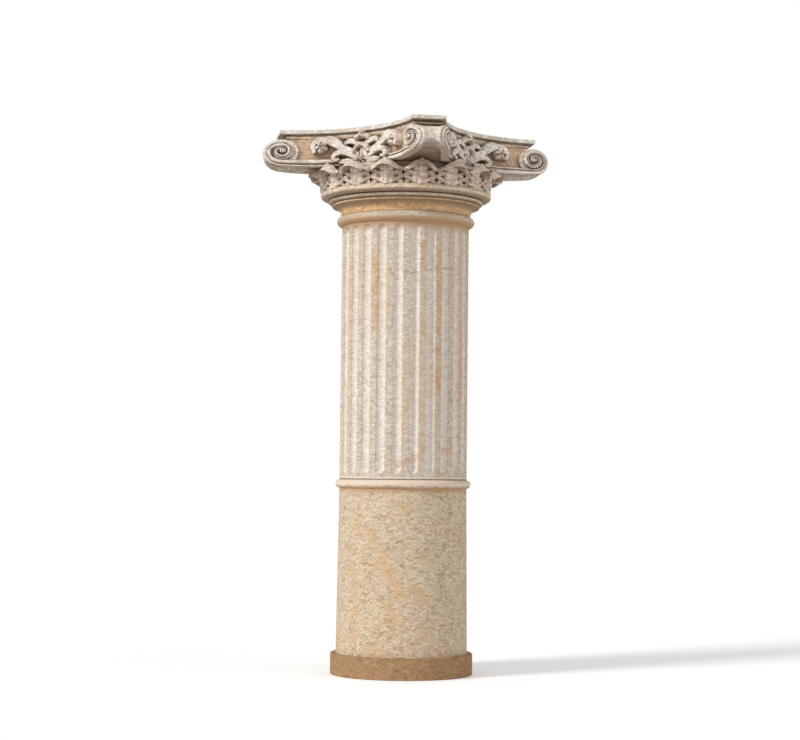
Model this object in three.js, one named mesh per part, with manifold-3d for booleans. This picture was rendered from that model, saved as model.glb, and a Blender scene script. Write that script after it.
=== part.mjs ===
import * as THREE from 'three';
import { mergeVertices } from 'three/addons/utils/BufferGeometryUtils.js';
import Module from 'manifold-3d';

// A stone column in four pieces, in millimetres. It stands on z = 0 with its axis on Z.
// The capital's four faces look along X and Y, and its scrolls stand on the diagonals.

const wasm = await Module();
wasm.setup();

// Joints and the pieces' heights, from the ground up
const jointGap = 0.3;
const footRingHeight = 115;
const lowerDrumHeight = 900;
const bandHeight = 46;
const flutedHeight = 1395;
const astragalHeight = 54;
const neckHeight = 62;
const quirkHeight = 6;
const beadHeight = 25;
const torusHeight = 40;
const leafRingHeight = 118;
const scrollBlockHeight = 144;
const abacusMouldingHeight = 24;
const abacusGrooveHeight = 8;
const abacusSlabHeight = 24;

// Radii of the round parts, each as the shaft's radius and what stands out from it
const shaftRadius = 350;
const drumFootSpread = 10;
const footRingProjection = 40;
const footRingEdge = 8;
const bandProjection = 22;
const astragalProjection = 31;
const neckProjection = 9;
const neckFlare = 49;
const quirkDepth = 8;
const beadProjection = 20;
const torusProjection = 28;
const torusLedge = 9;
const bellProjection = 103;

// Flutes: each is a long hollow with round ends
const fluteCount = 24;
const fluteFillet = 38;
const fluteDepth = 18;
const fluteTurn = -0.5;
const plainBelowFlutes = 32;
const plainAboveFlutes = 16;

// Leaf ring: one leaf under each scroll, one under each face and one between
const leafCount = 16;
const leafSpan = 0.97;
const leafFoot = 9;
const leafSink = 8;
const leafLean = 10;
const leafCurlRadius = 32;
const leafThickness = 17;
const leafRootThickness = 28;
const leafRelief = 7;
const leafTipShare = 0.3;
const leafLobes = 2;
const leafLobeDepth = 0.16;

// Plan of a face: a hollow arc, and at the scroll an arc that turns back out
const faceDistance = 386;
const faceRadius = 560;
const scrollStart = 400;
const scrollRadius = 300;
const fieldDepth = 16;
const rootDepth = 28;

// Scrolls: places along the face and sizes of the flattened spiral
const eyeAlong = 473;
const eyeDrop = 60;
const scrollOuter = 114;
const scrollInner = 86;
const scrollTop = 62;
const scrollBottom = 82;
const scrollTurns = 1.6;
const ribbonHollow = 0.13;
const scrollBandWidth = 40;
const scrollBandRelief = 14;

// Abacus: four hollow sides between horns that are cut flat
const abacusMidDistance = 411;
const hornDistance = 714;
const hornHalfWidth = 91;
const abacusMouldingInset = 17;
const abacusGrooveInset = 26;
const abacusLap = 2;

// Flower ornament on each face: places from the face's middle and from the block's foot
const rosetteAlong = 238;
const rosetteRise = 96;
const rosetteRadius = 36;
const lowerScrollAlong = 135;
const lowerScrollRise = 58;
const lowerScrollRadius = 30;
const stemRadius = 17;
const budRise = 146;
const flowerRise = 90;
const palmRise = 32;
const ornamentRelief = 44;

const roundSegments = 48;
const bellSegments = 32;

// Levels, worked out from the heights
const drumFoot = footRingHeight;
const bandFoot = drumFoot + lowerDrumHeight;
const flutedFoot = bandFoot + bandHeight;
const astragalFoot = flutedFoot + flutedHeight;
const capitalFoot = astragalFoot + astragalHeight;
const neckTop = capitalFoot + neckHeight;
const beadFoot = neckTop + quirkHeight;
const torusFoot = beadFoot + beadHeight;
const leafRoot = torusFoot + torusHeight;
const blockFoot = leafRoot + leafRingHeight;
const blockTop = blockFoot + scrollBlockHeight;
const grooveFoot = blockTop + abacusMouldingHeight;
const slabFoot = grooveFoot + abacusGrooveHeight;
const columnTop = slabFoot + abacusSlabHeight;

const bellRadius = shaftRadius + bellProjection;
const eyeHeight = blockTop - eyeDrop;

// Geometry of a closed solid from points and triangles, with its faces turned outwards
function closedGeometry(points, triangles) {
  const volume = triangles.reduce((sum, _, i) => {
    if (i % 3) return sum;
    const [a, b, c] = [triangles[i], triangles[i + 1], triangles[i + 2]].map((k) => points[k]);
    return sum + a.dot(new THREE.Vector3().crossVectors(b, c));
  }, 0);
  const index = volume < 0 ? [...triangles].reverse() : triangles;
  const geometry = new THREE.BufferGeometry().setFromPoints(points);
  geometry.setIndex(index);
  return geometry;
}

// Solid through a row of closed loops with as many points each, closed by a fan at each end
function loftGeometry(loops) {
  const size = loops[0].length;
  const triangles = [];
  for (let row = 0; row < loops.length - 1; row++) {
    for (let i = 0; i < size; i++) {
      const a = row * size + i;
      const b = row * size + ((i + 1) % size);
      triangles.push(a, b, b + size, a, b + size, a + size);
    }
  }
  const last = (loops.length - 1) * size;
  for (let i = 1; i < size - 1; i++) {
    triangles.push(0, i + 1, i);
    triangles.push(last, last + i, last + i + 1);
  }
  return closedGeometry(loops.flat(), triangles);
}

// Solid between a front sheet and a back sheet of points, both in rows of the same length
function sheetGeometry(front, back) {
  const rows = front.length;
  const columns = front[0].length;
  const triangles = [];
  const quad = (a, b, c, d) => triangles.push(a, b, c, a, c, d);
  const at = (row, column, layer) => (layer * rows + row) * columns + column;
  for (let row = 0; row < rows - 1; row++) {
    for (let column = 0; column < columns - 1; column++) {
      const corners = [[row, column], [row, column + 1], [row + 1, column + 1], [row + 1, column]];
      quad(...corners.map(([r, c]) => at(r, c, 0)));
      quad(...corners.reverse().map(([r, c]) => at(r, c, 1)));
    }
  }
  for (let column = 0; column < columns - 1; column++) {
    quad(at(0, column, 1), at(0, column + 1, 1), at(0, column + 1, 0), at(0, column, 0));
    const top = rows - 1;
    quad(at(top, column, 0), at(top, column + 1, 0), at(top, column + 1, 1), at(top, column, 1));
  }
  for (let row = 0; row < rows - 1; row++) {
    quad(at(row, 0, 0), at(row + 1, 0, 0), at(row + 1, 0, 1), at(row, 0, 1));
    const side = columns - 1;
    quad(at(row, side, 1), at(row + 1, side, 1), at(row + 1, side, 0), at(row, side, 0));
  }
  return closedGeometry([...front.flat(), ...back.flat()], triangles);
}

// Round solid from a profile of [radius, height] that starts and ends on the axis
function turnedGeometry(profile, segments, turn = 0) {
  const geometry = new THREE.LatheGeometry(profile.map(([r, z]) => new THREE.Vector2(r, z)), segments);
  geometry.rotateX(Math.PI / 2);
  geometry.rotateZ(THREE.MathUtils.degToRad(turn));
  return geometry;
}

// Points of an upright half ellipse that swells out from the radius between two heights
function bulge(radius, projection, foot, top, steps) {
  const middle = (foot + top) / 2;
  return Array.from({ length: steps + 1 }, (_, i) => {
    const angle = -Math.PI / 2 + (Math.PI * i) / steps;
    return [radius + projection * Math.cos(angle), middle + ((top - foot) / 2) * Math.sin(angle)];
  });
}

function toSolid(geometry) {
  const bare = geometry.clone();
  bare.deleteAttribute('normal');
  bare.deleteAttribute('uv');
  const merged = mergeVertices(bare, 1e-3);
  return new wasm.Manifold(new wasm.Mesh({
    numProp: 3,
    vertProperties: new Float32Array(merged.attributes.position.array),
    triVerts: new Uint32Array(merged.index.array),
  }));
}

function toGeometry(solid) {
  const mesh = solid.getMesh();
  const geometry = new THREE.BufferGeometry();
  geometry.setAttribute('position', new THREE.BufferAttribute(mesh.vertProperties, 3));
  geometry.setIndex(new THREE.BufferAttribute(mesh.triVerts, 1));
  const faceted = geometry.toNonIndexed();
  faceted.computeVertexNormals();
  return faceted;
}

function joined(geometries) {
  return geometries.map(toSolid).reduce((sum, next) => sum.add(next));
}

// Foot ring: a plain ring of darker stone with its upper edge taken off
function footRing() {
  const radius = shaftRadius + footRingProjection;
  const edge = footRingHeight - footRingEdge;
  const profile = [[0, 0], [radius, 0], [radius, edge], [radius - footRingEdge, footRingHeight], [0, footRingHeight]];
  return turnedGeometry(profile, roundSegments);
}

// Lower drum: plain and slightly tapered, with a half-round band along its head
function lowerDrum() {
  const foot = drumFoot + jointGap;
  const profile = [
    [0, foot],
    [shaftRadius + drumFootSpread, foot],
    ...bulge(shaftRadius, bandProjection, bandFoot, flutedFoot, 4),
    [0, flutedFoot],
  ];
  return turnedGeometry(profile, roundSegments);
}

// Fluted drum: the flutes are cut with long round-ended cutters, and an astragal closes the head
function flutedDrum() {
  const foot = flutedFoot + jointGap;
  const profile = [
    [0, foot],
    [shaftRadius, foot],
    ...bulge(shaftRadius, astragalProjection, astragalFoot, capitalFoot, 4),
    [0, capitalFoot],
  ];
  const drum = toSolid(turnedGeometry(profile, roundSegments, fluteTurn));
  const halfWidth = (Math.PI * shaftRadius) / fluteCount - fluteFillet / 2;
  const cutRadius = (halfWidth ** 2 + fluteDepth ** 2) / (2 * fluteDepth);
  const low = foot + plainBelowFlutes + halfWidth;
  const high = astragalFoot - plainAboveFlutes - halfWidth;
  const cutter = new THREE.CapsuleGeometry(cutRadius, high - low, 2, 12);
  cutter.rotateX(Math.PI / 2);
  cutter.translate(shaftRadius - fluteDepth + cutRadius, 0, (low + high) / 2);
  const cutters = Array.from({ length: fluteCount }, (_, i) => {
    const turn = THREE.MathUtils.degToRad(fluteTurn) + (2 * Math.PI * i) / fluteCount;
    return toSolid(cutter.clone().rotateZ(turn));
  });
  return toGeometry(cutters.reduce((sum, next) => sum.subtract(next), drum));
}

// Bell of the capital: neck, cavetto, quirk, bead and torus below the wall that carries the leaves
function bell() {
  const foot = capitalFoot + jointGap;
  const neck = shaftRadius + neckProjection;
  const flareSteps = 2;
  const cavetto = Array.from({ length: flareSteps + 1 }, (_, i) => {
    const angle = (Math.PI / 2) * (i / flareSteps);
    return [neck + neckFlare * (1 - Math.cos(angle)), foot + neckHeight * 0.12 + neckHeight * 0.76 * Math.sin(angle)];
  });
  const flare = neck + neckFlare;
  const torusRoot = bellRadius - torusLedge;
  const profile = [
    [0, foot],
    [neck, foot],
    ...cavetto,
    [flare, neckTop],
    [flare - quirkDepth, beadFoot],
    ...bulge(flare, beadProjection, beadFoot, torusFoot, 3).slice(1, 3),
    ...bulge(torusRoot, torusProjection, torusFoot, leafRoot, 4),
    [bellRadius, leafRoot],
    [bellRadius, blockFoot],
    [0, blockFoot],
  ];
  return turnedGeometry(profile, bellSegments);
}

// A leaf stands on the torus, leans out with the bell and curls over at its tip
function leaf(angle) {
  const rows = 4;
  const columns = 4;
  const root = bellRadius + leafFoot;
  const straight = leafRingHeight - leafCurlRadius + leafSink - 2;
  const curlLength = leafCurlRadius * Math.PI * 0.95;
  const front = [];
  const back = [];
  for (let row = 0; row <= rows; row++) {
    const along = row / rows;
    const run = along * (straight + curlLength);
    const curl = Math.max(0, run - straight) / leafCurlRadius;
    const rise = Math.min(run, straight);
    const halfPitch = (leafSpan * Math.PI * root) / leafCount;
    const lobe = 1 - leafLobeDepth * (0.5 - 0.5 * Math.cos(2 * Math.PI * leafLobes * along));
    const taper = along < 0.55 ? 1 : 1 - (1 - leafTipShare) * ((along - 0.55) / 0.45) ** 1.5;
    const frontRow = [];
    const backRow = [];
    for (let column = 0; column <= columns; column++) {
      const across = (2 * column) / columns - 1;
      const turn = angle + (across * halfPitch * lobe * taper) / root;
      const cling = 1 - 0.3 * across * across;
      const relief = leafRelief * Math.cos(1.5 * Math.PI * across);
      const reach = root + (leafLean * rise) / straight + leafCurlRadius * cling * (1 - Math.cos(curl));
      const height = leafRoot - leafSink + rise + leafCurlRadius * cling * Math.sin(curl);
      const thickness = THREE.MathUtils.lerp(leafRootThickness, leafThickness, Math.min(1, 0.8 * curl));
      const place = (inset) => new THREE.Vector3(
        (reach + (relief - inset) * Math.cos(curl)) * Math.cos(turn),
        (reach + (relief - inset) * Math.cos(curl)) * Math.sin(turn),
        height + (relief - inset) * Math.sin(curl),
      );
      frontRow.push(place(0));
      backRow.push(place(thickness));
    }
    front.push(frontRow);
    back.push(backRow);
  }
  return sheetGeometry(front, back);
}

// Point of the face that looks along -Y: run along it, step out of it and height
function facePoint(along, out, height) {
  const run = Math.abs(along);
  const turn = Math.min(run, scrollStart) / faceRadius;
  const heading = turn - Math.max(0, run - scrollStart) / scrollRadius;
  const x = faceRadius * Math.sin(turn) + scrollRadius * (Math.sin(turn) - Math.sin(heading));
  const y = faceRadius * (1 - Math.cos(turn)) + scrollRadius * (Math.cos(heading) - Math.cos(turn));
  return new THREE.Vector3(
    Math.sign(along) * (x - out * Math.sin(heading)),
    -(faceDistance + y + out * Math.cos(heading)),
    height,
  );
}

// Block between the bell and the abacus, set back behind the scroll bands
function scrollBlock() {
  const reach = eyeAlong - scrollInner / 2;
  const steps = 6;
  const outline = [];
  for (let quarter = 0; quarter < 4; quarter++) {
    for (let i = 0; i <= steps; i++) {
      const point = facePoint(reach * ((2 * i) / steps - 1), -fieldDepth, 0);
      point.applyAxisAngle(new THREE.Vector3(0, 0, 1), (quarter * Math.PI) / 2);
      outline.push(new THREE.Vector2(point.x, point.y));
    }
  }
  const shape = new THREE.Shape(outline);
  const lap = 3;
  const geometry = new THREE.ExtrudeGeometry(shape, { depth: scrollBlockHeight + 2 * lap, bevelEnabled: false });
  geometry.translate(0, 0, blockFoot - lap);
  return geometry;
}

// Outer edge of a scroll, seen square to its face, at an angle from the outermost point
function scrollEdge(angle, share = 1) {
  const width = Math.cos(angle) > 0 ? scrollOuter : scrollInner;
  const rise = Math.sin(angle) > 0 ? scrollTop : scrollBottom;
  return [eyeAlong + share * width * Math.cos(angle), eyeHeight + share * rise * Math.sin(angle)];
}

// Corner scroll: two spiral faces joined by a ribbon that is hollow across its width
function cornerScroll() {
  const edgeSteps = 16;
  const across = 4;
  const diagonal = new THREE.Vector3(1, -1, 0).normalize();
  const eye = facePoint(eyeAlong, 0, eyeHeight);
  const eyeReach = eye.dot(diagonal);
  const loops = [];
  for (let step = 0; step <= across; step++) {
    const share = (2 * step) / across - 1;
    const pinch = 1 - ribbonHollow * (1 - share * share);
    loops.push(Array.from({ length: edgeSteps }, (_, i) => {
      const [along, height] = scrollEdge((2 * Math.PI * i) / edgeSteps);
      const edge = facePoint(along, -2, height);
      const reach = edge.dot(diagonal);
      const side = new THREE.Vector3(1, 1, 0).normalize();
      const spread = edge.dot(side) * -share;
      const point = diagonal.clone().multiplyScalar(eyeReach + (reach - eyeReach) * pinch);
      point.addScaledVector(side, spread);
      point.z = eyeHeight + (height - eyeHeight) * pinch;
      return point;
    }));
  }
  return loftGeometry(loops);
}

// Raised band: it runs along the block's foot and winds into the scroll up to its eye
function scrollBand(side) {
  const path = [];
  const straightSteps = 3;
  const bandRise = scrollBandWidth / 2 - 4;
  for (let i = 0; i < straightSteps; i++) {
    const along = THREE.MathUtils.lerp(rosetteAlong / 4, eyeAlong - scrollInner * 0.7, i / (straightSteps - 1));
    path.push({ along, height: blockFoot + bandRise, half: scrollBandWidth / 2 });
  }
  const turnSteps = 11;
  for (let i = 1; i <= turnSteps; i++) {
    const wound = i / turnSteps;
    const angle = -Math.PI / 2 - 0.35 + 2 * Math.PI * scrollTurns * wound;
    const share = 0.83 - 0.63 * wound ** 0.85;
    const [along, height] = scrollEdge(angle, share);
    path.push({ along, height, half: THREE.MathUtils.lerp(scrollBandWidth * 0.4, scrollBandWidth * 0.16, wound) });
  }
  const loops = path.map((point, i) => {
    const before = path[Math.max(0, i - 1)];
    const after = path[Math.min(path.length - 1, i + 1)];
    const length = Math.hypot(after.along - before.along, after.height - before.height);
    const acrossAlong = -(after.height - before.height) / length;
    const acrossHeight = (after.along - before.along) / length;
    const corners = [[-1, -rootDepth], [-0.72, scrollBandRelief], [0.72, scrollBandRelief], [1, -rootDepth]];
    return corners.map(([share, out]) => facePoint(
      side * (point.along + share * point.half * acrossAlong),
      out,
      point.height + share * point.half * acrossHeight,
    ));
  });
  return loftGeometry(loops);
}

// Lobed boss on a face, such as a rosette, a bud or a petal
function boss(along, height, halfWidth, halfHeight, lobes, relief) {
  const steps = 2 * lobes;
  const rings = [[1, -rootDepth], [0.95, relief * 0.6], [0.5, relief]];
  return loftGeometry(rings.map(([share, out]) => Array.from({ length: steps }, (_, i) => {
    const angle = (2 * Math.PI * i) / steps;
    const size = share * (1 + 0.16 * Math.cos(lobes * angle));
    const across = along + halfWidth * size * Math.cos(angle);
    return facePoint(across, out, height + halfHeight * size * Math.sin(angle));
  })));
}

// Stem on a face through points of [along, height, radius], standing out by the relief
function stem(points, relief) {
  return loftGeometry(points.map(([along, height, radius], i) => {
    const before = points[Math.max(0, i - 1)];
    const after = points[Math.min(points.length - 1, i + 1)];
    const length = Math.hypot(after[0] - before[0], after[1] - before[1]);
    const acrossAlong = -(after[1] - before[1]) / length;
    const acrossHeight = (after[0] - before[0]) / length;
    const section = [[-1, -rootDepth], [-0.6, relief], [0.6, relief], [1, -rootDepth]];
    return section.map(([share, out]) => facePoint(
      along + share * radius * acrossAlong,
      out,
      height + share * radius * acrossHeight,
    ));
  }));
}

// Flower ornament of one face: bud, open flower, palm leaf, two stems with rosettes and two lower scrolls
function ornament() {
  const pieces = [
    boss(0, blockFoot + budRise, 38, 30, 3, ornamentRelief),
    boss(0, blockFoot + flowerRise, 44, 34, 4, ornamentRelief * 0.9),
    boss(0, blockFoot + palmRise, 62, 36, 3, ornamentRelief),
  ];
  const stemPath = [[20, 78], [120, 118], [200, 142], [rosetteAlong + rosetteRadius, rosetteRise + stemRadius]];
  for (const side of [-1, 1]) {
    const upper = stemPath.map(([along, rise]) => [side * along, blockFoot + rise, stemRadius]);
    pieces.push(stem(upper, ornamentRelief * 0.8));
    pieces.push(boss(side * rosetteAlong, blockFoot + rosetteRise, rosetteRadius, rosetteRadius * 0.9, 4, ornamentRelief));
    const curl = boss(
      side * lowerScrollAlong,
      blockFoot + lowerScrollRise,
      lowerScrollRadius,
      lowerScrollRadius,
      3,
      ornamentRelief * 0.75,
    );
    pieces.push(curl);
  }
  return pieces;
}

// Outline of the abacus in plan: four hollow sides and four flat horns, all set in by the inset
function abacusOutline(inset) {
  const cornerX = (hornDistance - hornHalfWidth) / Math.SQRT2;
  const cornerY = (hornDistance + hornHalfWidth) / Math.SQRT2;
  const sag = cornerY - abacusMidDistance;
  const radius = (cornerX ** 2 + sag ** 2) / (2 * sag) + inset;
  const centre = abacusMidDistance - inset + radius;
  const horn = hornDistance - inset;
  const reach = hornHalfWidth * Math.SQRT2;
  const endAngle = Math.asin(cornerX / (radius - inset)) * (1 - (0.55 * inset) / reach);
  const steps = 7;
  const outline = [];
  for (let quarter = 0; quarter < 4; quarter++) {
    const turn = (quarter * Math.PI) / 2;
    for (let i = 0; i <= steps; i++) {
      const angle = endAngle * ((2 * i) / steps - 1);
      const point = new THREE.Vector2(radius * Math.sin(angle), -(centre - radius * Math.cos(angle)));
      const beyond = (Math.abs(point.x) - point.y) / Math.SQRT2 - horn;
      if (beyond > 0) point.addScaledVector(new THREE.Vector2(Math.sign(point.x), -1), -beyond / Math.SQRT2);
      outline.push(point.rotateAround(new THREE.Vector2(), turn));
    }
  }
  return outline;
}

function abacus() {
  const layers = [
    [abacusMouldingInset, blockTop, grooveFoot],
    [abacusGrooveInset, grooveFoot - abacusLap, slabFoot + abacusLap],
    [0, slabFoot, columnTop],
  ];
  return layers.map(([inset, foot, top]) => {
    const shape = new THREE.Shape(abacusOutline(inset));
    const geometry = new THREE.ExtrudeGeometry(shape, { depth: top - foot, bevelEnabled: false });
    return geometry.translate(0, 0, foot);
  });
}

// Capital: carved from one block, so everything is joined into one solid
function capital() {
  const pieces = [bell(), scrollBlock(), ...abacus()];
  for (let i = 0; i < leafCount; i++) pieces.push(leaf((2 * Math.PI * i) / leafCount));
  const face = [cornerScroll(), scrollBand(-1), scrollBand(1), ...ornament()];
  for (let quarter = 0; quarter < 4; quarter++) {
    for (const piece of face) pieces.push(piece.clone().rotateZ((quarter * Math.PI) / 2));
  }
  return toGeometry(joined(pieces));
}

const stones = {
  foot_ring: { geometry: footRing(), color: '#a9834f' },
  lower_drum: { geometry: lowerDrum(), color: '#dcc29a' },
  fluted_drum: { geometry: flutedDrum(), color: '#dccfc0' },
  capital: { geometry: capital(), color: '#b9ab9c' },
};

const column = new THREE.Group();
for (const [name, { geometry, color }] of Object.entries(stones)) {
  const material = new THREE.MeshStandardMaterial({ color, roughness: 0.85, metalness: 0 });
  const mesh = new THREE.Mesh(geometry, material);
  mesh.name = name;
  column.add(mesh);
}

export default column;
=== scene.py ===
"""A granite column in four pieces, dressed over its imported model, in metres."""

import math

import bpy
import numpy as np
from mathutils import Matrix, Vector, noise


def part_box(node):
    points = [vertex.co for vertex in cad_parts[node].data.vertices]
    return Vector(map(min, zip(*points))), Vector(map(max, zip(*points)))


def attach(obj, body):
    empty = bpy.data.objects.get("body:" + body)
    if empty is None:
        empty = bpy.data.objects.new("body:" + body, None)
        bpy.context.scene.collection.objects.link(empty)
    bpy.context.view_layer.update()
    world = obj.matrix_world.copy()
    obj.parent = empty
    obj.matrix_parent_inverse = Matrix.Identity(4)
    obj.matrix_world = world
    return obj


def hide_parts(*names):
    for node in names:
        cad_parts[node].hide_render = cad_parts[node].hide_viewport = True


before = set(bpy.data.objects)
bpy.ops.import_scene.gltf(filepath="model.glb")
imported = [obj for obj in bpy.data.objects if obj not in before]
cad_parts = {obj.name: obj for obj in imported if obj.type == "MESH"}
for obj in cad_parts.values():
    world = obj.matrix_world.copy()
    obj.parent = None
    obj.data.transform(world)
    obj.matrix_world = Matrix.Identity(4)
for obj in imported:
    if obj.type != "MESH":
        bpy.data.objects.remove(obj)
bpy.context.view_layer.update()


# Camera
# A long lens low down in front of the column, which looks up at the capital a little.
# The column stands plumb, and the camera is rolled by a fraction of a degree.
picture_width = 800
picture_height = 740
axis_pixel = (404, 379)
focal_pixels = 1940
camera_azimuth = math.radians(35.5)
camera_distance = 10.71
camera_height = 1.09
camera_pitch = math.radians(2.82)
camera_roll = math.radians(0.6)
sensor_width = 36.0

across = Vector((math.cos(camera_azimuth), math.sin(camera_azimuth), 0))
ahead = Vector((-math.sin(camera_azimuth), math.cos(camera_azimuth), 0))
upward = Vector((0, 0, 1))
looking = ahead * math.cos(camera_pitch) + upward * math.sin(camera_pitch)
top_of_view = upward * math.cos(camera_pitch) - ahead * math.sin(camera_pitch)
right_rolled = across * math.cos(camera_roll) + top_of_view * math.sin(camera_roll)
top_rolled = top_of_view * math.cos(camera_roll) - across * math.sin(camera_roll)

camera_data = bpy.data.cameras.new("camera")
camera_data.sensor_width = sensor_width
camera_data.lens = focal_pixels * sensor_width / picture_width
camera_data.shift_x = (picture_width / 2 - axis_pixel[0]) / picture_width
camera_data.shift_y = (axis_pixel[1] - picture_height / 2) / picture_width
camera = bpy.data.objects.new("camera", camera_data)
turned_axes = Matrix((right_rolled, top_rolled, -looking)).transposed().to_4x4()
camera.matrix_world = Matrix.Translation(-ahead * camera_distance + upward * camera_height) @ turned_axes
bpy.context.scene.collection.objects.link(camera)
bpy.context.scene.camera = camera


# Studio
# A white room with a pale floor, lit so that the floor and the walls come out white in the picture.
# A broad soft light shines from high on the left in front, and a weak one from the right.
floor_reach = 40.0
floor_drop = 0.001
floor_roughness = 0.9
floor_glow = 0.24
room_strength = 0.46
wall_strength = 1.0
key_strength = 1.9
fill_strength = 0.4
white = (1, 1, 1, 1)

floor_mesh = bpy.data.meshes.new("floor")
floor_corners = [(-1, -1), (1, -1), (1, 1), (-1, 1)]
floor_points = [(x * floor_reach, y * floor_reach, -floor_drop) for x, y in floor_corners]
floor_mesh.from_pydata(floor_points, [], [(0, 1, 2, 3)])
floor = bpy.data.objects.new("floor", floor_mesh)
bpy.context.scene.collection.objects.link(floor)
floor_paint = bpy.data.materials.new("pale floor")
floor_paint.use_nodes = True
floor_shader = floor_paint.node_tree.nodes["Principled BSDF"]
floor_shader.inputs["Base Color"].default_value = (0.97, 0.97, 0.97, 1)
floor_shader.inputs["Roughness"].default_value = floor_roughness
floor_shader.inputs["Emission Color"].default_value = white
seen_floor = floor_paint.node_tree.nodes.new("ShaderNodeMath")
seen_floor.operation = "MULTIPLY"
seen_floor.inputs[1].default_value = floor_glow
floor_rays = floor_paint.node_tree.nodes.new("ShaderNodeLightPath")
floor_paint.node_tree.links.new(floor_rays.outputs["Is Camera Ray"], seen_floor.inputs[0])
floor_paint.node_tree.links.new(seen_floor.outputs[0], floor_shader.inputs["Emission Strength"])
floor_mesh.materials.append(floor_paint)

room = bpy.data.worlds.new("white room")
room.use_nodes = True
room_nodes = room.node_tree.nodes
room_nodes["Background"].inputs["Color"].default_value = white
seen_wall = room_nodes.new("ShaderNodeMix")
seen_wall.inputs["A"].default_value = room_strength
seen_wall.inputs["B"].default_value = wall_strength
room_rays = room_nodes.new("ShaderNodeLightPath")
room.node_tree.links.new(room_rays.outputs["Is Camera Ray"], seen_wall.inputs["Factor"])
room.node_tree.links.new(seen_wall.outputs["Result"], room_nodes["Background"].inputs["Strength"])
bpy.context.scene.world = room
bpy.context.scene.view_settings.view_transform = "Standard"


def soft_sun(name, side, front, height, spread, strength):
    """A broad sun that stands to the side of, in front of and above the column, in these shares."""
    data = bpy.data.lights.new(name, "SUN")
    data.angle = math.radians(spread)
    data.energy = strength
    light = bpy.data.objects.new(name, data)
    towards = across * side - ahead * front + upward * height
    light.matrix_world = (-towards).to_track_quat("-Z", "Y").to_matrix().to_4x4()
    bpy.context.scene.collection.objects.link(light)


soft_sun("key", side=-1.0, front=0.66, height=0.72, spread=14, strength=key_strength)
soft_sun("fill", side=1.0, front=0.45, height=0.35, spread=60, strength=fill_strength)


# Foot ring
# A plain ring of darker golden-brown granite that the column stands on.
# It is turned from one block and honed, with its upper edge taken off.
round_steps = 192
ring_edge = 0.006
ring_edge_middle = 0.3 * ring_edge
ring_foot_edge = 0.002
ring_colour = (0.36, 0.218, 0.112)
ring_honey = (0.46, 0.25, 0.10)
ring_speck = (0.11, 0.07, 0.045)
stone_gloss = 0.3
stone_roughness = (0.62, 0.86)
crystal_swerve = 0.012


def mesh_piece(name, points, faces, crease=38):
    """A smooth-shaded object, with sharp edges where its faces meet at more than the crease in degrees."""
    mesh = bpy.data.meshes.new(name)
    mesh.from_pydata([tuple(p) for p in points], [], faces)
    mesh.validate()
    mesh.shade_smooth()
    mesh.set_sharp_from_angle(angle=math.radians(crease))
    piece = bpy.data.objects.new(name, mesh)
    bpy.context.scene.collection.objects.link(piece)
    return piece


def ring_faces(rows, steps):
    """Faces round a stack of rings, with one flat face at each end."""
    faces = []
    for row in range(rows - 1):
        for step in range(steps):
            here = row * steps + step
            after = row * steps + (step + 1) % steps
            faces.append((here, after, after + steps, here + steps))
    faces.append(tuple(range(steps))[::-1])
    faces.append(tuple(range((rows - 1) * steps, rows * steps)))
    return faces


def turned(profile, steps):
    """Points and faces of a round solid; its [radius, height] profile starts and ends on the axis."""
    angles = np.arange(steps) * 2 * math.pi / steps
    rings = np.array(profile[1:-1])
    points = np.stack([
        np.outer(rings[:, 0], np.cos(angles)),
        np.outer(rings[:, 0], np.sin(angles)),
        np.repeat(rings[:, 1:2], steps, axis=1),
    ], axis=-1).reshape(-1, 3)
    return points, ring_faces(len(rings), steps)


def add_node(tree, kind, inputs=(), **settings):
    """A node with its settings, and its inputs by name or number, each a value or a socket linked to it."""
    node = tree.nodes.new(kind)
    for name, setting in settings.items():
        setattr(node, name, setting)
    for target, source in dict(inputs).items():
        if hasattr(source, "links"):
            tree.links.new(source, node.inputs[target])
        else:
            node.inputs[target].default_value = source
    return node


def math_of(tree, operation, first, second=0.0):
    return add_node(tree, "ShaderNodeMath", {0: first, 1: second}, operation=operation).outputs[0]


def vector_of(tree, operation, first, second=(0, 0, 0)):
    """A vector from two vectors, or from one and a scale; a length, distance or dot product is a number."""
    beside = "Scale" if operation == "SCALE" else 1
    node = add_node(tree, "ShaderNodeVectorMath", {0: first, beside: second}, operation=operation)
    return node.outputs["Value" if operation in ("LENGTH", "DISTANCE", "DOT_PRODUCT") else "Vector"]


def ramp(tree, source, low, high, out_low=0.0, out_high=1.0):
    """The source stretched smoothly from one range to another."""
    ranges = {0: source, 1: low, 2: high, 3: out_low, 4: out_high}
    return add_node(tree, "ShaderNodeMapRange", ranges, interpolation_type="SMOOTHSTEP").outputs[0]


def object_place(tree):
    return add_node(tree, "ShaderNodeTexCoord").outputs["Object"]


def noise_at(tree, place, scale, detail, roughness=0.5, distortion=0.0, output=0):
    return add_node(tree, "ShaderNodeTexNoise", {
        "Vector": place, "Scale": scale, "Detail": detail, "Roughness": roughness, "Distortion": distortion,
    }).outputs[output]


def mix_colour(tree, factor, under, over, blend="MIX"):
    """The over colour laid on the under colour by a factor; each is a socket, or red, green and blue."""
    under, over = (colour if hasattr(colour, "links") else (*colour, 1) for colour in (under, over))
    inputs = {0: factor, 6: under, 7: over}
    return add_node(tree, "ShaderNodeMix", inputs, data_type="RGBA", blend_type=blend).outputs[2]


def tinted(tree, colour, mask, share, shade):
    """The colour with a shade laid on it where a mask and a share of it say."""
    return mix_colour(tree, math_of(tree, "MULTIPLY", mask, share), colour, shade)


def shaded(colour, share):
    """A colour made darker or lighter by a share, and at most white."""
    return tuple(min(1.0, share * part) for part in colour)


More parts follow.
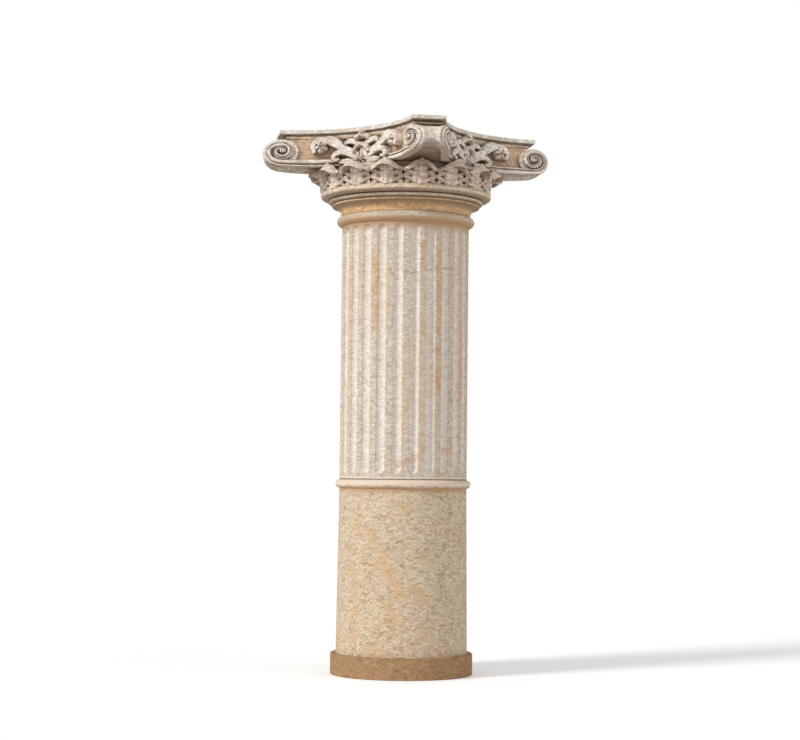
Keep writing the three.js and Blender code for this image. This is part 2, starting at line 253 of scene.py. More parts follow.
def mask_group(name, inputs, outputs):
    """A new node group whose inputs are numbers and vectors, and whose outputs are numbers."""
    group = bpy.data.node_groups.new(name, "ShaderNodeTree")
    for title, value in inputs.items():
        kind = "NodeSocketVector" if isinstance(value, tuple) else "NodeSocketFloat"
        group.interface.new_socket(name=title, in_out="INPUT", socket_type=kind).default_value = value
    for title in outputs:
        group.interface.new_socket(name=title, in_out="OUTPUT", socket_type="NodeSocketFloat")
    inside = group.nodes.new("NodeGroupInput")
    outside = group.nodes.new("NodeGroupOutput")
    return group, inside.outputs, outside.inputs


def placed_group(tree, group, inputs):
    """Outputs of a node group that is placed in a material with its own values."""
    return add_node(tree, "ShaderNodeGroup", inputs, node_tree=group).outputs


def granite_grain():
    """Grain of granite: a tone for each crystal, mottles, hues, dark specks, soft clouds and height."""
    inputs = {"Crystal size": 0.006, "Speck share": 0.1}
    outputs = ("Crystal", "Mottle", "Hue", "Speck", "Cloud", "Height")
    group, inside, outside = mask_group("granite grain", inputs, outputs)
    place = object_place(group)
    swerve = noise_at(group, place, scale=60.0, detail=2.0, output="Color")
    swerve = vector_of(group, "MULTIPLY", swerve, (crystal_swerve, crystal_swerve, crystal_swerve))
    bent = vector_of(group, "ADD", place, swerve)
    density = math_of(group, "DIVIDE", 1.0, inside["Crystal size"])
    crystals = add_node(group, "ShaderNodeTexVoronoi", {"Vector": bent, "Scale": density}).outputs["Color"]
    tone = add_node(group, "ShaderNodeSeparateColor", {0: crystals}).outputs["Green"]
    flattened = vector_of(group, "MULTIPLY", place, (1, 1, 2.1))
    mottle = noise_at(group, flattened, scale=34.0, detail=6.0, roughness=0.74, distortion=1.1)
    hue = noise_at(group, bent, scale=17.0, detail=4.0, roughness=0.65)
    speck_scale = math_of(group, "MULTIPLY", density, 0.42)
    specks = noise_at(group, flattened, speck_scale, detail=3.0, roughness=0.6, distortion=1.6)
    rim = math_of(group, "SUBTRACT", 0.78, inside["Speck share"])
    flecks = ramp(group, specks, rim, math_of(group, "ADD", rim, 0.08))
    speck = math_of(group, "MULTIPLY", flecks, ramp(group, hue, 0.56, 0.42, 0.25, 1.0))
    cloud = noise_at(group, place, scale=5.5, detail=5.0, roughness=0.6)
    pits = noise_at(group, place, scale=150.0, detail=4.0, roughness=0.6)
    height = math_of(group, "SUBTRACT", pits, math_of(group, "MULTIPLY", speck, 0.35))
    mottle = ramp(group, mottle, 0.37, 0.63)
    hue = ramp(group, hue, 0.36, 0.64)
    for name, source in zip(outputs, (tone, mottle, hue, speck, cloud, height)):
        group.links.new(source, outside[name])
    return group


grain_group = granite_grain()


def stone_start(name, crystal_size, speck_share):
    """A new stone material with its tree, its shader and its grain."""
    material = bpy.data.materials.new(name)
    material.use_nodes = True
    tree = material.node_tree
    shader = tree.nodes["Principled BSDF"]
    shader.inputs["Specular IOR Level"].default_value = stone_gloss
    grain = placed_group(tree, grain_group, {"Crystal size": crystal_size, "Speck share": speck_share})
    return material, tree, shader, grain


def stone_end(tree, shader, colour, height, bump=0.35, depth=0.0015):
    """Colour, roughness that follows the grain, and a bump from the height."""
    tree.links.new(colour, shader.inputs["Base Color"])
    tree.links.new(ramp(tree, height, 0.3, 0.7, *stone_roughness), shader.inputs["Roughness"])
    relief = add_node(tree, "ShaderNodeBump", {"Strength": bump, "Distance": depth, "Height": height})
    tree.links.new(relief.outputs[0], shader.inputs["Normal"])


def golden_granite():
    """Golden brown, mottled darker and lighter, with a touch of honey and dark specks."""
    material, tree, shader, grain = stone_start("golden granite", 0.007, 0.17)
    colour = mix_colour(tree, grain["Mottle"], shaded(ring_colour, 0.62), shaded(ring_colour, 1.45))
    colour = tinted(tree, colour, grain["Crystal"], 0.45, ring_colour)
    colour = tinted(tree, colour, grain["Hue"], 0.3, ring_honey)
    colour = tinted(tree, colour, grain["Speck"], 0.6, ring_speck)
    stone_end(tree, shader, colour, grain["Height"])
    return material


ring_low, ring_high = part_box("foot_ring")
ring_radius = ring_high.x
ring_profile = [
    (0, ring_low.z),
    (ring_radius - ring_foot_edge, ring_low.z),
    (ring_radius, ring_low.z + ring_foot_edge),
    (ring_radius, ring_high.z - ring_edge),
    (ring_radius - ring_edge_middle, ring_high.z - ring_edge_middle),
    (ring_radius - ring_edge, ring_high.z),
    (0, ring_high.z),
]
foot_ring = mesh_piece("foot_ring_stone", *turned(ring_profile, round_steps))
foot_ring.data.materials.append(golden_granite())
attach(foot_ring, "root")
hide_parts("foot_ring")


# Lower drum
# The plain drum of tan granite with golden slanting veins and dark specks, honed smooth.
# Its head carries a half-round band that is turned from the same block.
drum_low, drum_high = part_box("lower_drum")
band_height = 0.046
band_projection = 0.022
drum_foot_spread = 0.010
taper_steps = 12
moulding_steps = 16
shaft_radius = drum_high.x - band_projection
drum_foot_radius = shaft_radius + drum_foot_spread
band_foot = drum_high.z - band_height

drum_brown = (0.30, 0.185, 0.10)
drum_cream = (0.92, 0.74, 0.51)
crystal_brown = (0.54, 0.42, 0.28)
crystal_pink = (0.74, 0.56, 0.40)
crystal_share = 0.25
drum_grey = (0.68, 0.585, 0.475)
drum_cloud = (0.72, 0.50, 0.33)
drum_speck = (0.17, 0.10, 0.055)
band_cream = (0.86, 0.72, 0.58)
# Rust-brown colour of the painted shadow that the band casts on the drum.
under_band_painted_shadow = (0.50, 0.27, 0.11)
vein_gold = (0.66, 0.36, 0.13)
vein_slant = (0.35, math.radians(38), 0.2)
streak_gold = (0.72, 0.40, 0.16)
streak_raggedness = 0.42
# Streaks of the golden vein: start and end, each an angle round the drum and a height, and the half width.
drum_streaks = (
    ((-88.0, 0.790), (-54.0, 0.450), 0.044),
    ((-65.0, 0.368), (-52.0, 0.215), 0.036),
    ((-47.0, 0.512), (-31.0, 0.428), 0.024),
    ((-104.0, 0.700), (-100.0, 0.200), 0.034),
    ((-98.0, 0.880), (-95.0, 0.780), 0.040),
    ((-36.0, 0.640), (-33.0, 0.600), 0.040),
    ((45.0, 0.300), (75.0, 0.820), 0.040),
    ((150.0, 0.780), (172.0, 0.380), 0.044),
)


def bulge(radius, projection, foot, top, steps):
    """Points of an upright half ellipse that swells out from a radius between two heights."""
    middle = (foot + top) / 2
    turns = [-math.pi / 2 + math.pi * i / steps for i in range(steps + 1)]
    return [(radius + projection * math.cos(t), middle + (top - foot) / 2 * math.sin(t)) for t in turns]


def level_ramp(tree, level, none_at, full_at, most=1.0):
    """A mask by height: nothing at one step above a level, and the most at another."""
    height = add_node(tree, "ShaderNodeSeparateXYZ", {0: object_place(tree)}).outputs["Z"]
    return ramp(tree, height, level + none_at, level + full_at, 0.0, most)


def rust_veins():
    """Golden veins that follow slanting beds through the stone, as a mask."""
    inputs = {"Slant": (0.0, 0.0, 0.0), "Bed scale": 2.4, "Width": 0.06}
    group, inside, outside = mask_group("rust veins", inputs, ("Vein",))
    place = object_place(group)
    slant = {"Vector": place, "Rotation": inside["Slant"]}
    slanted = add_node(group, "ShaderNodeVectorRotate", slant, rotation_type="EULER_XYZ").outputs[0]
    stretched = vector_of(group, "MULTIPLY", slanted, (1.0, 1.0, 0.28))
    beds = noise_at(group, stretched, inside["Bed scale"], detail=4.0, roughness=0.55, distortion=0.5)
    off_centre = math_of(group, "ABSOLUTE", math_of(group, "SUBTRACT", beds, 0.5))
    line = ramp(group, off_centre, inside["Width"], 0.0)
    broken = ramp(group, noise_at(group, place, scale=7.0, detail=3.0), 0.46, 0.66)
    group.links.new(math_of(group, "MULTIPLY", line, broken), outside["Vein"])
    return group


def stain_streak():
    """One ragged streak on a round drum, from a start to an end given as angle in radians and height."""
    inputs = {"Start": (0.0, 0.0, 0.0), "End": (0.0, 0.0, 0.0), "Width": 0.02, "Ragged": 0.05}
    group, inside, outside = mask_group("stain streak", inputs, ("Streak",))
    place = object_place(group)
    axes = add_node(group, "ShaderNodeSeparateXYZ", {0: place}).outputs
    angle = math_of(group, "ARCTAN2", axes["Y"], axes["X"])
    unrolled = add_node(group, "ShaderNodeCombineXYZ", {0: angle, 1: axes["Z"]}).outputs[0]
    wander = noise_at(group, place, scale=16.0, detail=5.0, roughness=0.65, output="Color")
    wander = vector_of(group, "SUBTRACT", wander, (0.5, 0.5, 0.5))
    moved = vector_of(group, "ADD", unrolled, vector_of(group, "SCALE", wander, inside["Ragged"]))
    in_metres = (shaft_radius, 1.0, 0.0)
    places = (moved, inside["Start"], inside["End"])
    point, start, end = (vector_of(group, "MULTIPLY", source, in_metres) for source in places)
    run = vector_of(group, "SUBTRACT", end, start)
    offset = vector_of(group, "SUBTRACT", point, start)
    reach = vector_of(group, "DOT_PRODUCT", offset, run)
    share = math_of(group, "DIVIDE", reach, vector_of(group, "DOT_PRODUCT", run, run))
    share = add_node(group, "ShaderNodeClamp", {0: share}).outputs[0]
    away = vector_of(group, "DISTANCE", offset, vector_of(group, "SCALE", run, share))
    group.links.new(ramp(group, away, inside["Width"], 0.0), outside["Streak"])
    return group


vein_group = rust_veins()
streak_group = stain_streak()


def streak_of(tree, start, end, width, ragged):
    """Mask of one streak between two places, each an angle in degrees and a height."""
    return placed_group(tree, streak_group, {
        "Start": (math.radians(start[0]), start[1], 0),
        "End": (math.radians(end[0]), end[1], 0),
        "Width": width,
        "Ragged": ragged,
    })["Streak"]


def tan_granite():
    """Tan and cream mottles with golden veins, a paler band, and a rust-brown painted shadow right under
    it.
    """
    material, tree, shader, grain = stone_start("tan granite", 0.009, 0.17)
    veins = placed_group(tree, vein_group, {"Slant": vein_slant, "Bed scale": 2.6, "Width": 0.05})
    colour = mix_colour(tree, grain["Mottle"], drum_brown, drum_cream)
    crystals = mix_colour(tree, grain["Crystal"], crystal_brown, crystal_pink)
    colour = mix_colour(tree, crystal_share, colour, crystals)
    colour = tinted(tree, colour, grain["Hue"], 0.45, drum_grey)
    colour = mix_colour(tree, ramp(tree, grain["Cloud"], 0.5, 0.7, 0.0, 0.3), colour, drum_cloud)
    colour = tinted(tree, colour, veins["Vein"], 0.35, vein_gold)
    broken = ramp(tree, grain["Mottle"], 0.0, 1.0, 0.35, 1.0)
    for start, end, width in drum_streaks:
        streak = math_of(tree, "MULTIPLY", streak_of(tree, start, end, width, streak_raggedness), 0.55)
        colour = tinted(tree, colour, streak, broken, streak_gold)
    colour = tinted(tree, colour, grain["Speck"], 0.72, drum_speck)
    band = level_ramp(tree, band_foot, none_at=0.010, full_at=0.022, most=0.75)
    colour = mix_colour(tree, band, colour, band_cream)
    # Painted shadow: the drum darkens to rust-brown just under the band, where the band casts its shadow.
    band_shadow = level_ramp(tree, band_foot, none_at=-0.040, full_at=-0.002, most=0.6)
    off_band = level_ramp(tree, band_foot, none_at=0.012, full_at=0.004)
    colour = tinted(tree, colour, band_shadow, off_band, under_band_painted_shadow)
    stone_end(tree, shader, colour, grain["Height"], bump=0.6, depth=0.0025)
    return material


drum_side = np.linspace((drum_foot_radius, drum_low.z), (shaft_radius, band_foot), taper_steps + 1)
drum_profile = [
    (0, drum_low.z),
    *drum_side,
    *bulge(shaft_radius, band_projection, band_foot, drum_high.z, moulding_steps)[1:],
    (0, drum_high.z),
]
lower_drum = mesh_piece("lower_drum_stone", *turned(drum_profile, round_steps))
lower_drum.data.materials.append(tan_granite())
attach(lower_drum, "root")
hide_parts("lower_drum")


# Fluted drum
# Pale cream granite with rusty patches. The flutes are long hollows with round ends, cut by hand,
# so their edges wander by a hair, and an astragal is turned round the drum's head.
fluted_low, fluted_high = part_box("fluted_drum")
flute_count = 24
flute_fillet = 0.038
flute_depth = 0.020
flute_turn = math.radians(-0.5)
plain_below = 0.032
plain_above = 0.016
astragal_height = 0.054
astragal_projection = 0.031
edge_rounding = 0.0011
edge_wander = 0.0006
depth_wander = 0.05
flute_columns = 17
fillet_columns = 4
shaft_rows = 46
end_row_step = 0.0028
astragal_foot = fluted_high.z - astragal_height
half_flute = math.pi * shaft_radius / flute_count - flute_fillet / 2
cut_radius = (half_flute ** 2 + flute_depth ** 2) / (2 * flute_depth)
flute_low = fluted_low.z + plain_below + half_flute
flute_high = astragal_foot - plain_above - half_flute

hollow_grey = (0.66, 0.575, 0.485)
hollow_white = (0.95, 0.89, 0.82)
hollow_rust = (0.72, 0.56, 0.42)
fillet_brown = (0.42, 0.335, 0.235)
fillet_cream = (0.80, 0.71, 0.585)
fillet_rust = (0.66, 0.45, 0.27)
shaft_grey = (0.72, 0.64, 0.57)
shaft_speck = (0.22, 0.16, 0.11)
astragal_tan = (0.56, 0.40, 0.24)
# Rust-brown for the stain and the painted shadow right under the astragal.
head_rust_and_shadow = (0.48, 0.275, 0.135)
# Cream of the painted highlight along the drum's foot.
foot_highlight_cream = (0.88, 0.80, 0.70)
joint_brown = (0.17, 0.12, 0.08)
rust = (0.62, 0.33, 0.15)
crack = (0.13, 0.085, 0.06)
# A hairline crack and rusty patches: start and end, each an angle and a height, then half width,
# raggedness and colour.
flute_streaks = (
    ((-57.0, 2.163), (-16.0, 2.206), 0.0036, 0.02, crack),
    ((-16.0, 2.206), (12.0, 2.212), 0.0030, 0.02, crack),
    ((-55.6, 2.137), (-55.2, 2.135), 0.0080, 0.02, crack),
    ((-57.0, 1.152), (-43.0, 1.170), 0.040, 0.16, rust),
    ((-13.0, 1.216), (-6.0, 1.226), 0.044, 0.16, rust),
    ((-83.0, 2.280), (-82.0, 1.880), 0.034, 0.30, rust),
    ((-22.0, 2.260), (-22.0, 1.560), 0.034, 0.30, rust),
    ((-36.5, 2.440), (-37.0, 2.200), 0.032, 0.30, rust),
    ((7.0, 1.860), (8.0, 1.480), 0.034, 0.30, rust),
    ((100.0, 1.700), (103.0, 2.150), 0.034, 0.30, rust),
    ((160.0, 1.300), (164.0, 1.750), 0.034, 0.30, rust),
)


def pale_granite():
    """Bleached in the hollows of the flutes, tan on the fillets, rust-stained and darkened by painted
    shadow right under the astragal, and with a painted highlight along the foot.
    """
    material, tree, shader, grain = stone_start("pale granite", 0.007, 0.13)
    place = object_place(tree)
    radius = vector_of(tree, "LENGTH", vector_of(tree, "MULTIPLY", place, (1, 1, 0)))
    in_hollow = ramp(tree, radius, shaft_radius, shaft_radius - 0.008)
    drawn_down = vector_of(tree, "MULTIPLY", place, (1, 1, 0.14))
    rusty = ramp(tree, noise_at(tree, drawn_down, scale=11.0, detail=5.0, roughness=0.6), 0.42, 0.60)
    hollow = mix_colour(tree, grain["Mottle"], hollow_grey, hollow_white)
    hollow = tinted(tree, hollow, rusty, 0.16, hollow_rust)
    fillet = mix_colour(tree, grain["Mottle"], fillet_brown, fillet_cream)
    fillet = tinted(tree, fillet, rusty, 0.42, fillet_rust)
    colour = mix_colour(tree, in_hollow, fillet, hollow)
    colour = tinted(tree, colour, grain["Hue"], 0.22, shaft_grey)
    moulding = level_ramp(tree, astragal_foot, none_at=0.0, full_at=0.010)
    weathered = ramp(tree, grain["Cloud"], 0.40, 0.60, 0.10, 0.55)
    colour = tinted(tree, colour, moulding, weathered, astragal_tan)
    # A rust stain and painted shadow together: the drum darkens to rust-brown just under the astragal.
    head = level_ramp(tree, astragal_foot, none_at=-0.060, full_at=-0.006, most=0.85)
    off_astragal = level_ramp(tree, astragal_foot, none_at=0.030, full_at=0.010)
    colour = tinted(tree, colour, head, off_astragal, head_rust_and_shadow)
    # Painted highlight: a pale line along the drum's foot, where its lower edge catches the light.
    painted_foot_highlight = level_ramp(tree, fluted_low.z, none_at=0.018, full_at=0.012, most=0.6)
    colour = mix_colour(tree, painted_foot_highlight, colour, foot_highlight_cream)
    joint = level_ramp(tree, fluted_low.z, none_at=0.008, full_at=0.004, most=0.85)
    colour = mix_colour(tree, joint, colour, joint_brown)
    broken = ramp(tree, grain["Mottle"], 0.2, 0.9, 1.0, 0.4)
    for start, end, width, ragged, shade in flute_streaks:
        streak = math_of(tree, "MULTIPLY", streak_of(tree, start, end, width, ragged), 0.68)
        colour = tinted(tree, colour, streak, broken, shade)
    colour = tinted(tree, colour, grain["Speck"], 0.5, shaft_speck)
    stone_end(tree, shader, colour, grain["Height"], bump=0.5, depth=0.002)
    return material


def flute_hollow(beside, height):
    """How deep the flutes are cut at a distance beside a flute's middle line and a height."""
    beyond = np.maximum(np.maximum(flute_low - height, height - flute_high), 0)
    reach = np.hypot(beside, beyond)
    depth = np.sqrt(np.maximum(cut_radius ** 2 - reach ** 2, 0)) - (cut_radius - flute_depth)
    return 0.5 * (depth + np.sqrt(depth ** 2 + edge_rounding ** 2)) - 0.5 * edge_rounding


def fluted_surface():
    """Points and faces of the drum: even rows along the shaft, close rows at the flutes' ends."""
    past_end = half_flute + 0.012
    end_lap = 0.004
    end_gap = 0.01
    least_cut = 0.001
    heights = np.concatenate([
        [fluted_low.z, fluted_low.z + 0.002],
        np.arange(flute_low - past_end, flute_low + end_lap, end_row_step),
        np.linspace(flute_low + end_gap, flute_high - end_gap, shaft_rows),
        np.arange(flute_high - end_lap, flute_high + past_end, end_row_step),
        [astragal_foot],
    ])
    inside = half_flute * np.sin(np.linspace(-math.pi / 2, math.pi / 2, flute_columns))
    over_fillet = flute_fillet * np.arange(1, fillet_columns) / fillet_columns
    beside = np.concatenate([inside, half_flute + over_fillet])
    pitch = 2 * math.pi / flute_count
    angles = np.concatenate([beside / shaft_radius + i * pitch for i in range(flute_count)]) + flute_turn
    from_middle = np.tile(beside, flute_count)
    from_middle = np.minimum(np.abs(from_middle), np.abs(from_middle - pitch * shaft_radius))
    rows = heights[:, None]
    columns = angles[None, :]
    hollow = flute_hollow(from_middle[None, :], rows)
    wander = edge_wander * np.sin(7.0 * rows + 5.0 * columns) * np.sin(3.1 * rows + 1.7)
    reach = shaft_radius - hollow * (1 + depth_wander * np.sin(9 * columns)) + wander * (hollow > least_cut)
    astragal = bulge(shaft_radius, astragal_projection, astragal_foot, fluted_high.z, moulding_steps)[1:]
    rings = []
    for radius, height in [*zip(reach, heights), *astragal]:
        level = np.full(len(angles), height)
        rings.append(np.stack([radius * np.cos(angles), radius * np.sin(angles), level], -1))
    return np.concatenate(rings), ring_faces(len(rings), len(angles))


fluted_drum = mesh_piece("fluted_drum_stone", *fluted_surface(), crease=50)
fluted_drum.data.materials.append(pale_granite())
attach(fluted_drum, "root")
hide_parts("fluted_drum")


# Capital
# One carved block of greyer granite: a turned neck and torus, a ring of curling leaves,
# scroll bands that wind up under the abacus at the corners, and a flower ornament on each hollow face.
capital_low, capital_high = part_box("capital")
neck_height = 0.062
quirk_height = 0.006
bead_height = 0.025
torus_height = 0.040
leaf_ring_height = 0.118
scroll_block_height = 0.144
neck_radius = shaft_radius + 0.009
neck_flare = 0.049
quirk_depth = 0.008
bead_projection = 0.020
bell_radius = shaft_radius + 0.103
torus_projection = 0.028
torus_ledge = 0.009
ground_radius = bell_radius - 0.016
ground_sink = 0.01
arris = 0.001
cavetto_steps = 12
bell_steps = 160
ground_steps = 96
neck_top = capital_low.z + neck_height
bead_foot = neck_top + quirk_height
torus_foot = bead_foot + bead_height
leaf_root = torus_foot + torus_height
block_foot = leaf_root + leaf_ring_height
block_top = block_foot + scroll_block_height
bell_finish, leaf_finish, field_finish, raised_finish, abacus_finish = range(5)


def bell_profile():
    """Outline of the turned foot: a hollow neck between two fillets, then the quirk, bead and torus."""
    flare = neck_radius + neck_flare
    cavetto = []
    for i in range(cavetto_steps + 1):
        turn = math.pi / 2 * i / cavetto_steps
        rise = capital_low.z + neck_height * (0.12 + 0.76 * math.sin(turn))
        cavetto.append((neck_radius + neck_flare * (1 - math.cos(turn)), rise))
    return [
        (0, capital_low.z),
        (neck_radius, capital_low.z),
        *cavetto,
        (flare, neck_top),
        (flare - quirk_depth, neck_top + arris),
        (flare - quirk_depth, bead_foot),
        *bulge(flare, bead_projection, bead_foot, torus_foot, 8)[1:-1],
        *bulge(bell_radius - torus_ledge, torus_projection, torus_foot, leaf_root, 12),
        (ground_radius, leaf_root + arris),
        (0, leaf_root + arris),
    ]


def sheet_solid(front, back):
    """Points and faces of the closed solid between two sheets of points in rows."""
    rows, columns = front.shape[:2]
    size = rows * columns
    points = np.concatenate([front.reshape(-1, 3), back.reshape(-1, 3)])
    faces = []
    for row in range(rows - 1):
        for column in range(columns - 1):
            a = row * columns + column
            quad = (a, a + 1, a + 1 + columns, a + columns)
            faces.append(quad)
            faces.append(tuple(size + k for k in reversed(quad)))
    border = [(0, c) for c in range(columns)]
    border += [(r, columns - 1) for r in range(1, rows)]
    border += [(rows - 1, c) for c in range(columns - 2, -1, -1)]
    border += [(r, 0) for r in range(rows - 2, 0, -1)]
    index = [r * columns + c for r, c in border]
    for here, after in zip(index, index[1:] + index[:1]):
        faces.append((after, here, size + here, size + after))
    return points, faces


def loft_solid(loops):
    """Points and faces of the closed solid through a row of closed loops of as many points."""
    loops = np.asarray(loops, float)
    return loops.reshape(-1, 3), ring_faces(loops.shape[0], loops.shape[1])


leaf_count = 16
leaf_foot = 0.009
leaf_sink = 0.008
leaf_lean = 0.010
leaf_headroom = 0.002
leaf_curl_radius = 0.032
leaf_curl = 0.95 * math.pi
leaf_span = 0.99
leaf_tip_share = 0.6
leaf_taper_start = 0.66
leaf_notch = 0.22
leaf_side_lobes = 5
leaf_lobe_slope = 0.17
leaf_lobe_start = 0.2
lobe_fingers = 3
leaf_cupping = 0.009
lobe_relief = 0.013
finger_relief = 0.0022
midrib_relief = 0.007
midrib_groove = 0.006
eye_depth = 0.013
leaf_lip_drop = 0.020
leaf_root_thickness = 0.030
leaf_tip_thickness = 0.012
leaf_columns = 31
leaf_rows = 46


def leaf(angle):
    """An acanthus leaf: fingered lobes sweep up from a raised midrib, with drilled eyes between them."""
    root = bell_radius + leaf_foot
    straight = leaf_ring_height - leaf_curl_radius + leaf_sink - leaf_headroom
    length = straight + leaf_curl_radius * leaf_curl
    v = np.linspace(0, 1, leaf_rows)[:, None]
    u = np.linspace(-1, 1, leaf_columns)[None, :]
    side = np.abs(u)
    curl = np.maximum(0, v * length - straight) / leaf_curl_radius
    rise = np.minimum(v * length, straight)
    lobe_place = leaf_side_lobes * (v - leaf_lobe_slope * side ** 1.3) + leaf_lobe_start
    lobe = np.abs(np.sin(math.pi * lobe_place))
    edge_lobe = np.abs(np.sin(math.pi * (leaf_side_lobes * (v - leaf_lobe_slope) + leaf_lobe_start)))
    tapered = np.maximum(v - leaf_taper_start, 0) / (1 - leaf_taper_start)
    taper = 1 - (1 - leaf_tip_share) * tapered ** 1.6
    notched = 1 - leaf_notch + leaf_notch * edge_lobe ** 0.45
    half = leaf_span * math.pi * root / leaf_count * taper * notched
    turn = angle + u * half / root
    fingers = np.cos(2 * math.pi * lobe_fingers * (lobe_place % 1))
    relief = leaf_cupping * np.cos(1.25 * math.pi * u)
    relief = relief + lobe_relief * (lobe ** 0.55 - 0.7) * np.minimum(1, 2.2 * side)
    relief = relief + finger_relief * fingers * np.minimum(1, 2 * side)
    relief = relief + midrib_relief * np.exp(-(u / 0.08) ** 2)
    relief = relief - midrib_groove * np.exp(-((side - 0.19) / 0.07) ** 2)
    eye = np.exp(-((side - 0.55) / 0.12) ** 2) * np.exp(-(lobe / 0.5) ** 2)
    relief = relief - eye_depth * eye * (v < 0.75)
    cling = 1 - 0.5 * side ** 2
    reach = root + leaf_lean * rise / straight + leaf_curl_radius * cling * (1 - np.cos(curl))
    height = leaf_root - leaf_sink + rise + leaf_curl_radius * cling * np.sin(curl)
    height = height - leaf_lip_drop * side ** 2 * np.minimum(1, curl)
    thinned = np.minimum(1, 0.8 * curl)
    thickness = leaf_root_thickness + (leaf_tip_thickness - leaf_root_thickness) * thinned

    def sheet(inset, depth):
        out = reach + (depth - inset) * np.cos(curl)
        up = height + (depth - inset) * np.sin(curl)
        return np.stack([out * np.cos(turn), out * np.sin(turn), up + 0 * turn], -1)

    return sheet_solid(sheet(0, relief), sheet(thickness, 0.5 * relief))


face_distance = 0.386
face_radius = 0.560
scroll_start = 0.400
scroll_radius = 0.300
field_depth = 0.016
root_depth = 0.028


def face_point(along, out, height):
    """Point of the face that looks along -Y: run along it, step out of it and height."""
    along, out, height = np.broadcast_arrays(np.asarray(along, float), out, height)
    run = np.abs(along)
    turn = np.minimum(run, scroll_start) / face_radius
    heading = turn - np.maximum(0, run - scroll_start) / scroll_radius
    x = face_radius * np.sin(turn) + scroll_radius * (np.sin(turn) - np.sin(heading))
    y = face_radius * (1 - np.cos(turn)) + scroll_radius * (np.cos(heading) - np.cos(turn))
    depth = face_distance + y + out * np.cos(heading)
    return np.stack([np.sign(along) * (x - out * np.sin(heading)), -depth, height], -1)


def quarter_turned(points, quarter):
    angle = quarter * math.pi / 2
    cosine = math.cos(angle)
    sine = math.sin(angle)
    return points @ np.array([[cosine, sine, 0], [-sine, cosine, 0], [0, 0, 1]])


eye_along = 0.473
eye_drop = 0.060
scroll_outer = 0.114
scroll_inner = 0.086
scroll_top = 0.062
scroll_bottom = 0.082
scroll_lap = 0.002
scroll_steps = 64
ribbon_hollow = 0.13
ribbon_steps = 20
corner_hollow = 0.034
hollow_start = 0.43
hollow_run = 0.11
block_lap = 0.003
block_steps = 32
underside_steps = 12
eye_height = block_top - eye_drop


def scroll_block():
    """The block between the scrolls, with its underside hollowed out towards each corner."""
    reach = eye_along - scroll_inner / 2
    plan = face_point(np.linspace(-reach, reach, block_steps + 1), -field_depth, 0.0)
    plan = np.concatenate([quarter_turned(plan, quarter) for quarter in range(4)])
    loops = []
    for share in np.linspace(0.5, 1, underside_steps + 1):
        loop = plan * [share, share, 0]
        corner_reach = (np.abs(loop[:, 0]) + np.abs(loop[:, 1])) / math.sqrt(2)
        hollow = np.clip((corner_reach - hollow_start) / hollow_run, 0, 1)
        loop[:, 2] = block_foot - block_lap + corner_hollow * hollow * hollow * (3 - 2 * hollow)
        loops.append(loop)
    loops.append(plan + [0, 0, block_top + block_lap])
    return loft_solid(loops)


def scroll_edge(angle, share=1.0):
    """Outer edge of a scroll, seen square to its face, at an angle from the outermost point."""
    width = np.where(np.cos(angle) > 0, scroll_outer, scroll_inner)
    rise = np.where(np.sin(angle) > 0, scroll_top, scroll_bottom)
    return eye_along + share * width * np.cos(angle), eye_height + share * rise * np.sin(angle)


def corner_scroll():
    """Two spiral faces joined by a ribbon that is hollow across its width, and more so below than above."""
    along, height = scroll_edge(np.arange(scroll_steps) * 2 * math.pi / scroll_steps)
    edge = face_point(along, -scroll_lap, height)
    diagonal = np.array([1, -1, 0]) / math.sqrt(2)
    sideways = np.array([1, 1, 0]) / math.sqrt(2)
    eye_reach = face_point(eye_along, 0.0, eye_height) @ diagonal
    loops = []
    for share in np.linspace(-1, 1, ribbon_steps + 1):
        pinch = 1 - ribbon_hollow * (1 - share ** 2)
        lower_pinch = 1 - corner_hollow / scroll_bottom * (1 - share ** 2)
        reach = eye_reach + (edge @ diagonal - eye_reach) * pinch
        spread = (edge @ sideways) * -share
        points = reach[:, None] * diagonal + spread[:, None] * sideways
        pinched = np.where(height > eye_height, pinch, lower_pinch)
        points[:, 2] = eye_height + (height - eye_height) * pinched
        loops.append(points)
    return loft_solid(loops)


def swept(path_along, path_height, half, section):
    """Loops of a moulding swept over a face: the section holds a share of the half width and a step out."""
    d_along = np.gradient(path_along)
    d_height = np.gradient(path_height)
    length = np.hypot(d_along, d_height)
    shares, out = np.array(section).T
    loops = []
    for i in range(len(path_along)):
        share = shares * half[i]
        along = path_along[i] - share * d_height[i] / length[i]
        height = path_height[i] + share * d_along[i] / length[i]
        loops.append(face_point(along, out, height))
    return loops


scroll_turns = 1.9
winding_start = -math.pi / 2 - 0.35
winding_steps = 77
scroll_band_width = 0.040
scroll_band_relief = 0.014
scroll_band_start = 0.06
level_steps = 14
# Section of the scroll band: share of the half width, and share of the relief.
scroll_band_section = (
    (-1, 0.5), (-0.85, 1), (-0.5, 1.25), (-0.1, 1.1), (0.14, 0.75),
    (0.22, 0.1), (0.46, 0.1), (0.54, 0.75), (0.8, 0.85), (1, 0.4),
)


def scroll_band(side):
    """Raised band: it runs along the block's foot and winds into the scroll up to its eye."""
    level_along = np.linspace(scroll_band_start, eye_along - scroll_inner * 0.8, level_steps)
    level_height = block_foot + scroll_band_width / 2 - 0.004
    wound = np.linspace(0, 1, winding_steps + 1)[1:]
    angle = winding_start + 2 * math.pi * scroll_turns * wound
    turn_along, turn_height = scroll_edge(angle, 0.85 - 0.73 * wound ** 0.9)
    along = np.concatenate([level_along, turn_along])
    height = np.concatenate([np.full(level_steps, level_height), turn_height])
    width = scroll_band_width * (0.44 - 0.26 * wound)
    half = np.concatenate([np.full(level_steps, scroll_band_width / 2), width])
    section = [(share, scroll_band_relief * lift) for share, lift in scroll_band_section]
    return loft_solid(swept(side * along, height, half, [(-1, -root_depth), *section, (1, -root_depth)]))


# Rings of a boss from its edge to near its middle, as shares of its width.
boss_rings = (1.0, 0.97, 0.88, 0.74, 0.58, 0.42, 0.27, 0.14, 0.05)


